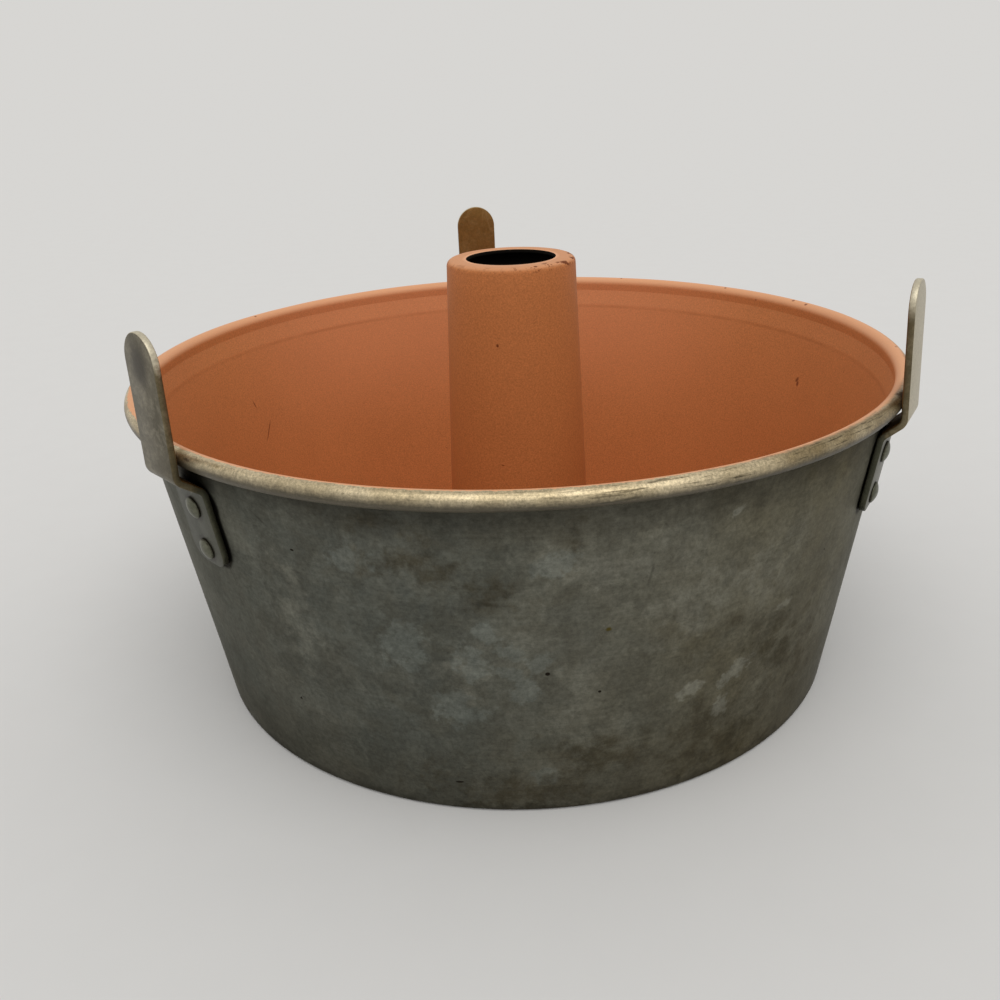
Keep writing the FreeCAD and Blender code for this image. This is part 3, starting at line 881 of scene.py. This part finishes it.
# %% Finishes of the straps
# The back tints are a painted reflection of the coating.
BACK_REFLECTION_TINTS = (paint(122, 88, 44), paint(144, 108, 60), paint(158, 128, 84))
FACE_TINTS = (paint(84, 78, 62), paint(114, 107, 90), paint(160, 152, 132))
EDGE_TINTS = (paint(84, 75, 54), paint(112, 101, 76), paint(150, 138, 112))
STRAP_GRIME = paint(46, 40, 30)
RUBBED_AND_SHEEN = paint(212, 203, 180)
TAB_STAIN_AND_SHADE = paint(62, 65, 54)
SMUDGE_BROWN = paint(58, 51, 38)
SMUDGE = round_pan(Vector((bead_edge + 3.5 * MM, 0, 129.0 * MM)), FEET["left"][0])
SMUDGE_REACH = (7.0 * MM, 7.0 * MM, 9.0 * MM)


def make_strap_finish(name, tints, roughness, pale_top=0.0, lightened=0.0, film=0.0):
    """Finish of a side of the straps: how far tops are rubbed, how much painted sheen the right foot gets,
    under a film.
    """
    finish, tree, shader, place = new_finish(name)
    dull, clear, worn = tints
    clouds = effect(tree, BLOTCHES, place, Scale=45.0, Softness=0.2)
    mottle = effect(tree, BLOTCHES, place, Scale=160.0, Level=0.56, Softness=0.14)
    scratches = effect(tree, SCRATCHES, place, Turn=(0.2, 0.1, 0.4), Scale=120.0, Width=0.02, Amount=0.6)
    smudge = effect(tree, MARK, place, Middle=SMUDGE, Reach=SMUDGE_REACH, Core=0.2)
    grain = noise(tree, place, 1300.0, 4.0, 0.7)
    left_to_right, _, height = split(tree, place)
    # Painted sheen: the right foot is painted paler.
    right_foot_sheen = times(tree, ease(tree, left_to_right, 40 * MM, 90 * MM), lightened)
    wandering = plus(tree, height, spread(tree, mottle, -2.0 * MM, 2.0 * MM))
    at_top = ease(tree, wandering, foot_high.z - 13.0 * MM, foot_high.z - 4.0 * MM)
    # The tab is darker: stain on its faces, and on its cut edges also painted shade by the wall.
    on_tab = ease(tree, wandering, lip_start.z + 1.0 * MM, lip_start.z - 3.0 * MM)
    from_rivet = plus(tree, effect(tree, RIVET_REACH, place), spread(tree, mottle, -0.4 * MM, 0.4 * MM))
    ring = ease(tree, from_rivet, RIVET_HEAD_RADIUS + 1.4 * MM, RIVET_HEAD_RADIUS)
    colour = mix(tree, larger(tree, clouds, right_foot_sheen), dull, clear)
    colour = mix(tree, larger(tree, times(tree, mottle, 0.4), right_foot_sheen), colour, worn)
    colour = lay_on(tree, colour, (RUBBED_AND_SHEEN, right_foot_sheen, 0.4), (TAB_STAIN_AND_SHADE, on_tab, 0.85),
                    (SMUDGE_BROWN, smudge, 0.9), (worn, scratches, 0.4), (RUBBED_AND_SHEEN, at_top, pale_top))
    colour = tone(tree, colour, grain, 0.5, 1.5)
    feed(tree, shader, {
        "Base Color": lay_on(tree, colour, (STRAP_GRIME, ring, 0.8)),
        "Roughness": spread(tree, clouds, roughness + 0.08, roughness - 0.04),
        "Metallic": 0.85,
        "Coat Weight": film,
        "Coat Roughness": 0.3,
        "Normal": relief(tree, (mottle, 0.3, 0.08 * MM), (grain, 0.25, 0.05 * MM))})
    return finish


STRAP_BACK = make_strap_finish("strap_back", BACK_REFLECTION_TINTS, 0.5)
STRAP_FACE = make_strap_finish("strap_face", FACE_TINTS, 0.46, lightened=1.0, film=0.15)
STRAP_EDGE = make_strap_finish("strap_edge", EDGE_TINTS, 0.4, pale_top=0.9)
print("finishes:", [finish.name for finish in (STRAP_BACK, STRAP_FACE, STRAP_EDGE)])

# %% [markdown]
# The rivets' crowns are worn smooth, and dirt outlines them. Their heads show so small that one mottled
# colour with a dark edge is enough.

# %% Finish of the rivets
RIVET_DULL = paint(82, 83, 70)
RIVET_CLEAR = paint(114, 114, 98)


def make_rivet_finish():
    finish, tree, shader, place = new_finish("rivet_metal")
    mottle = effect(tree, BLOTCHES, place, Scale=260.0, Softness=0.2)
    grain = noise(tree, place, 1500.0, 4.0, 0.7)
    from_crown = plus(tree, effect(tree, RIVET_REACH, place), spread(tree, mottle, -0.3 * MM, 0.3 * MM))
    edge = ease(tree, from_crown, RIVET_HEAD_RADIUS - 0.3 * MM, RIVET_HEAD_RADIUS + 0.2 * MM)
    colour = tone(tree, mix(tree, mottle, RIVET_DULL, RIVET_CLEAR), grain, 0.5, 1.5)
    feed(tree, shader, {
        "Base Color": lay_on(tree, colour, (STRAP_GRIME, edge, 0.75)),
        "Roughness": spread(tree, edge, 0.36, 0.6),
        "Metallic": 0.9,
        "Normal": relief(tree, (grain, 0.3, 0.05 * MM))})
    return finish


RIVET_METAL = make_rivet_finish()
print("finish:", RIVET_METAL.name, len(RIVET_METAL.node_tree.nodes), "nodes")

# %% [markdown]
# A turned piece is easiest to draw as its section: one point, pulled along by extruding it, with the
# corners rounded by a bevel of the points and then spun about an axis. That is also how a metal spinner
# thinks of it. These helpers do the drawing, and the pieces below only give the sections.

# %% Helpers for drawing sections
NEAR = 0.01 * MM
BEND_STEPS = 7
LONGEST_STEP = 6.0 * MM


def start_line(name, place):
    """A new piece that is one selected point, left in edit mode."""
    bpy.ops.object.select_all(action="DESELECT")
    bpy.ops.mesh.primitive_plane_add(size=MM)
    piece = bpy.context.object
    piece.name = name
    bpy.ops.object.mode_set(mode="EDIT")
    bpy.ops.mesh.select_mode(type="VERT")
    bpy.ops.mesh.select_all(action="SELECT")
    bpy.ops.mesh.merge(type="CENTER")
    bpy.ops.transform.translate(value=place)
    return piece


def select_at(piece, *places):
    """Select the points of a piece at some places, and nothing else."""
    bpy.ops.mesh.select_all(action="DESELECT")
    bpy.ops.object.mode_set(mode="OBJECT")
    for point in piece.data.vertices:
        point.select = any((point.co - place).length < NEAR for place in places)
    bpy.ops.object.mode_set(mode="EDIT")


def bend_reach(before, corner, after, radius):
    """How far from a corner the bend of a radius begins."""
    turn = (corner - before).angle(after - corner)
    return radius * math.tan(turn / 2)


def draw_line(name, points, radii):
    """A line through the points, with each corner between them rounded to its radius."""
    piece = start_line(name, points[0])
    for start, end in zip(points, points[1:]):
        bpy.ops.mesh.extrude_vertices_move(TRANSFORM_OT_translate={"value": end - start})
    for before, corner, after, radius in zip(points, points[1:], points[2:], radii):
        select_at(piece, corner)
        reach = bend_reach(before, corner, after, radius)
        bpy.ops.mesh.bevel(affect="VERTICES", offset=reach, segments=BEND_STEPS)
    return piece


def cut_long_steps(piece):
    """Divide the long straight steps of a line, so that the spun faces are near square."""
    bpy.ops.object.mode_set(mode="OBJECT")
    points = piece.data.vertices
    steps = [[points[index].co.copy() for index in edge.vertices] for edge in piece.data.edges]
    bpy.ops.object.mode_set(mode="EDIT")
    for start, end in steps:
        length = (start - end).length
        if length > LONGEST_STEP:
            select_at(piece, start, end)
            bpy.ops.mesh.subdivide(number_cuts=int(length / LONGEST_STEP))


print("drawing helpers ready")

# %% [markdown]
# A drawn piece is a thin skin. It is closed where its ends meet, turned the right way out, and given the
# thickness of its sheet by a Solidify modifier and broken edges by a bevel. Last, it is put on its body in
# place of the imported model's node.

# %% Helpers for finishing pieces
SHARP = math.radians(55)
SMOOTH_UP_TO = math.radians(40)
BREAK_STEPS = 3


def close_up(piece, outside, direction):
    """Merge a piece's seams, and turn its faces so that the one nearest to a place looks in a direction."""
    bpy.ops.mesh.select_all(action="SELECT")
    bpy.ops.mesh.remove_doubles(threshold=NEAR)
    bpy.ops.mesh.normals_make_consistent(inside=False)
    bpy.ops.object.mode_set(mode="OBJECT")
    nearest = min(piece.data.polygons, key=lambda face: (face.center - outside).length)
    if nearest.normal.dot(direction) < 0:
        bpy.ops.object.mode_set(mode="EDIT")
        bpy.ops.mesh.select_all(action="SELECT")
        bpy.ops.mesh.flip_normals()
        bpy.ops.object.mode_set(mode="OBJECT")


def spin_up(piece, steps, axis, outside, direction):
    """Spin a section into a closed round, facing the given direction at the point outside."""
    bpy.ops.mesh.select_all(action="SELECT")
    bpy.ops.mesh.spin(steps=steps, angle=math.tau, center=(0, 0, 0), axis=axis)
    close_up(piece, outside, direction)


def paint_with(piece, *finishes):
    for finish in finishes:
        piece.data.materials.append(finish)


def finish_with(piece, modifier, kind, **settings):
    """Add a modifier to a piece, set it and apply it."""
    added = piece.modifiers.new(modifier, kind)
    for option, value in settings.items():
        setattr(added, option, value)
    bpy.ops.object.modifier_apply(modifier=modifier)


def break_edges(piece, width, sharp):
    """Bevel the edges of a piece that are sharper than an angle, and shade the rest smooth."""
    finish_with(piece, "edges", "BEVEL", width=width, segments=BREAK_STEPS, limit_method="ANGLE",
                angle_limit=sharp)
    bpy.ops.object.shade_smooth_by_angle(angle=SMOOTH_UP_TO)


def thicken(piece, sheet, edge_break, rim_slot=0):
    """Give a piece the thickness of its sheet, behind the drawn face, and break its cut edges."""
    finish_with(piece, "sheet", "SOLIDIFY", thickness=sheet, offset=-1.0, use_even_offset=True,
                use_quality_normals=True, material_offset=1, material_offset_rim=rim_slot)
    break_edges(piece, edge_break, SHARP)


def put_on(piece, body, node):
    """Let a piece ride on its body and stand for its node, which is hidden."""
    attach(piece, body)
    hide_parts(node)
    finishes = [finish.name for finish in piece.data.materials]
    print(piece.name, "has", len(piece.data.polygons), "faces and", finishes)


print("finishing helpers ready")

# %% [markdown]
# The wall is one sheet: a flange turned in under the floor, a tapered side, a flared lip that turns back in
# at its neck, and an edge rolled outwards into a bead. It could be a cone with rings added, but the bead is
# an exact roll, so its section is drawn on the outer face and the last point is spun about the bead's
# middle. A very slow displacement gives the side the unevenness of hand-spun metal before the sheet gets
# its thickness.

# %% Pan wall
WALL_STEPS = 192
BEAD_STEPS = 28
FLANGE_WIDTH = 10.0 * MM
CORNER_BEND = 0.4 * MM
LIP_BEND = 8.0 * MM
NECK_BEND = 0.6 * MM
NECK_IN = 1.2 * MM
NECK_DROP = 2.7 * MM
BEAD_EDGE_GAP = 0.4 * MM
WALL_UNEVEN = 0.35 * MM
WALL_UNEVEN_SCALE = 60 * MM
EDGE_BREAK = 0.25 * MM

neck = bead_middle - Vector((NECK_IN, 0, NECK_DROP))
to_bead = bead_middle - neck
aside = math.asin(BEAD_BORE / to_bead.length)
bead_start = neck + Matrix.Rotation(-aside, 3, "Y") @ to_bead * math.cos(aside)
bead_turn = math.tau - math.acos((BEAD_BORE - BEAD_EDGE_GAP) / BEAD_RADIUS)
flange_edge = base_corner - Vector((FLANGE_WIDTH, 0, 0))
pan_wall = draw_line("spun_wall", [flange_edge, base_corner, lip_start, neck, bead_start],
                     [CORNER_BEND + WALL_SHEET, LIP_BEND, NECK_BEND + WALL_SHEET])
cut_long_steps(pan_wall)
select_at(pan_wall, bead_start)
bpy.ops.mesh.spin(steps=BEAD_STEPS, angle=bead_turn, center=bead_middle, axis=(0, -1, 0))
spin_up(pan_wall, WALL_STEPS, (0, 0, 1), wall_point(bead_middle.z / 2), off_wall)
print("rolled edge reaches", round(max(point.co.x for point in pan_wall.data.vertices) / MM, 2), "mm")
paint_with(pan_wall, AGED_WALL, WALL_COATING)
side = pan_wall.vertex_groups.new(name="tapered_side")
side.add([point.index for point in pan_wall.data.vertices if point.co.z > WALL_SHEET], 1.0, "REPLACE")
unevenness = bpy.data.textures.new("hand_spun", "CLOUDS")
unevenness.noise_scale = WALL_UNEVEN_SCALE
finish_with(pan_wall, "uneven", "DISPLACE", texture=unevenness, strength=WALL_UNEVEN, texture_coords="LOCAL",
            vertex_group=side.name)
thicken(pan_wall, WALL_SHEET, EDGE_BREAK)
put_on(pan_wall, "pan", "pan_wall")

# %% [markdown]
# The floor is a loose disc that lies on the wall's flange. Its middle is raised, and the rim of its hole is
# turned up into a collar that grips the tube. It is drawn on the lower face, so the sheet grows upwards and
# the coating lands on the side where the cake sits.

# %% Base plate
PLATE_STEPS = 160
PLATE_SHEET = 1.2 * MM
PLATE_BEND = 1.0 * MM
FLOOR_RISE = 3.0 * MM
RISE_RUN = 4.0 * MM
RISE_MARGIN = 8.0 * MM
COLLAR_CLEARANCE = 0.1 * MM
TUBE_FOOT_RADIUS = 26.1 * MM
TUBE_TOP_RADIUS = 21.2 * MM
plate_low, plate_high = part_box("base_plate")
raised_floor = plate_low.z + FLOOR_RISE


def tube_radius(height):
    """Outer radius of the tube at a height."""
    share = (height - raised_floor) / (tube_high.z - raised_floor)
    return TUBE_FOOT_RADIUS + (TUBE_TOP_RADIUS - TUBE_FOOT_RADIUS) * share


slope_top = tube_high.x + RISE_MARGIN
plate_line = [
    Vector((tube_radius(plate_high.z) + COLLAR_CLEARANCE, 0, plate_high.z)),
    Vector((tube_radius(raised_floor) + COLLAR_CLEARANCE, 0, raised_floor)),
    Vector((slope_top, 0, raised_floor)),
    Vector((slope_top + RISE_RUN, 0, plate_low.z)),
    Vector((plate_high.x, 0, plate_low.z)),
]
plate = draw_line("floor_plate", plate_line, [PLATE_BEND + PLATE_SHEET, PLATE_BEND, PLATE_BEND + PLATE_SHEET])
cut_long_steps(plate)
spin_up(plate, PLATE_STEPS, (0, 0, 1), plate_line[-1], Vector((0, 0, -1)))
paint_with(plate, DARK_METAL, TUBE_COATING)
thicken(plate, PLATE_SHEET, EDGE_BREAK)
put_on(plate, "insert", "base_plate")

# %% [markdown]
# The tube tapers upwards so that the cake lets go of it. Its foot is flared out under the floor, and its
# top is turned in to a flat lip round the open mouth. The same helpers draw it on the outer face.

# %% Centre tube
TUBE_STEPS = 128
TUBE_SHEET = 1.2 * MM
TUBE_FLANGE_BEND = 0.8 * MM
TUBE_SHOULDER_BEND = 0.8 * MM
MOUTH_RADIUS = 14.7 * MM
tube_line = [
    Vector((tube_high.x, 0, raised_floor)),
    Vector((TUBE_FOOT_RADIUS, 0, raised_floor)),
    Vector((TUBE_TOP_RADIUS, 0, tube_high.z)),
    Vector((MOUTH_RADIUS, 0, tube_high.z)),
]
tube = draw_line("tapered_tube", tube_line, [TUBE_FLANGE_BEND, TUBE_SHOULDER_BEND + TUBE_SHEET])
cut_long_steps(tube)
tube_side = Vector((tube_radius(tube_high.z / 2), 0, tube_high.z / 2))
spin_up(tube, TUBE_STEPS, (0, 0, 1), tube_side, Vector((1, 0, 0)))
paint_with(tube, TUBE_COATING, DARK_METAL)
thicken(tube, TUBE_SHEET, EDGE_BREAK, rim_slot=1)
put_on(tube, "insert", "centre_tube")

# %% [markdown]
# Each foot is one strap: an upright that stands outside the rim, a jog inwards under the bead, and a tab
# down the wall. As on a bench, it starts as an edge as wide as the strap that is pulled along the bends.
# The folds are then beveled into bends, and the corners into the round top and the tab's rounded end. Years
# of use have bent the feet a little, each its own way.

# %% Feet
ROUND_STEPS = 14
STRAP_EDGE_BREAK = 0.4 * MM


def make_foot(side, azimuth, gap, lean):
    def upright(height):
        leaned = (height - bead_middle.z) * math.tan(math.radians(lean))
        return Vector((bead_edge + gap - leaned, 0, height))

    across = Vector((0, half_width, 0))
    folds = [upright(foot_high.z), upright(jog_end.z), lip_start, tab_foot]
    radii = (STRAP_BEND, STRAP_BEND + STRAP_SHEET)
    piece = start_line(side + "_strap", folds[0] - across)
    bpy.ops.mesh.extrude_vertices_move(TRANSFORM_OT_translate={"value": across * 2})
    select_at(piece, folds[0] - across, folds[0] + across)
    for start, end in zip(folds, folds[1:]):
        bpy.ops.mesh.extrude_edges_move(TRANSFORM_OT_translate={"value": end - start})
    for before, corner, after, radius in zip(folds, folds[1:], folds[2:], radii):
        select_at(piece, corner - across, corner + across)
        reach = bend_reach(before, corner, after, radius)
        bpy.ops.mesh.bevel(affect="EDGES", offset=reach, segments=BEND_STEPS)
    for end, radius in ((folds[0], half_width), (folds[-1], TAB_CORNER)):
        select_at(piece, end - across, end + across)
        bpy.ops.mesh.bevel(affect="VERTICES", offset=radius, segments=ROUND_STEPS)
    close_up(piece, (folds[0] + folds[1]) / 2, Vector((-1, 0, 0)))
    paint_with(piece, STRAP_BACK, STRAP_FACE, STRAP_EDGE)
    thicken(piece, STRAP_SHEET, STRAP_EDGE_BREAK, rim_slot=2)
    piece.rotation_euler.z = math.radians(azimuth)
    bpy.ops.object.transform_apply(location=True, rotation=True, scale=True)
    put_on(piece, "pan", side + "_foot")


for side, (azimuth, gap, lean) in FEET.items():
    make_foot(side, azimuth, gap, lean)

# %% [markdown]
# Two rivets hold each foot. One rivet is drawn lying along +X with a head at each end, the heads rolled
# about the middle of their ball, and is spun about its own axis. The outer head has a short upright side
# below its dome. Copies of it are tilted to the wall and turned to their feet, each with a mesh of its own.

# %% Rivets
RIVET_STEPS = 40
DOME_STEPS = 9
SHANK_RADIUS = 2.0 * MM
HEAD_HEIGHT = 1.5 * MM
HEAD_EDGE = 0.5 * MM
HEAD_EDGE_BREAK = 0.2 * MM
INNER_HEAD_RADIUS = 3.6 * MM
INNER_HEAD_HEIGHT = 0.9 * MM
RIVET_CLEARANCE = 0.1 * MM


def roll_dome(piece, rim, height, out):
    """Roll the rim's point up to the crown of a round head that stands out along +X or -X."""
    ball = (rim.z ** 2 + height ** 2) / (2 * height)
    middle = Vector((rim.x + out * (height - ball), 0, 0))
    select_at(piece, rim)
    bpy.ops.mesh.spin(steps=DOME_STEPS, angle=math.asin(rim.z / ball), center=middle, axis=(0, -out, 0))


inner_seat = -WALL_SHEET - RIVET_CLEARANCE
inner_rim = Vector((inner_seat, 0, INNER_HEAD_RADIUS))
outer_rim = Vector((STRAP_SHEET + HEAD_EDGE, 0, RIVET_HEAD_RADIUS))
rivet_line = [
    inner_rim,
    Vector((inner_seat, 0, SHANK_RADIUS)),
    Vector((STRAP_SHEET, 0, SHANK_RADIUS)),
    Vector((STRAP_SHEET, 0, RIVET_HEAD_RADIUS)),
    outer_rim,
]
rivet = draw_line("rivet", rivet_line, [])
roll_dome(rivet, inner_rim, INNER_HEAD_HEIGHT, -1)
roll_dome(rivet, outer_rim, HEAD_HEIGHT - HEAD_EDGE, 1)
spin_up(rivet, RIVET_STEPS, (1, 0, 0), Vector((STRAP_SHEET + HEAD_HEIGHT, 0, 0)), Vector((1, 0, 0)))
paint_with(rivet, RIVET_METAL, WALL_COATING)
for face in rivet.data.polygons:
    face.material_index = 1 if face.center.x < inner_seat / 2 else 0
break_edges(rivet, HEAD_EDGE_BREAK, SMOOTH_UP_TO)
tilt = Matrix.Rotation(wall_taper, 4, "Y")
for side, (azimuth, *_) in FEET.items():
    for level, seat in (("upper", upper_rivet), ("lower", lower_rivet)):
        copy = rivet.copy()
        copy.data = rivet.data.copy()
        copy.name = side + "_" + level + "_rivet"
        bpy.context.collection.objects.link(copy)
        copy.data.transform(Matrix.Rotation(math.radians(azimuth), 4, "Z") @ Matrix.Translation(seat) @ tilt)
        put_on(copy, "pan", "rivet_" + side + "_" + level)
bpy.data.objects.remove(rivet)
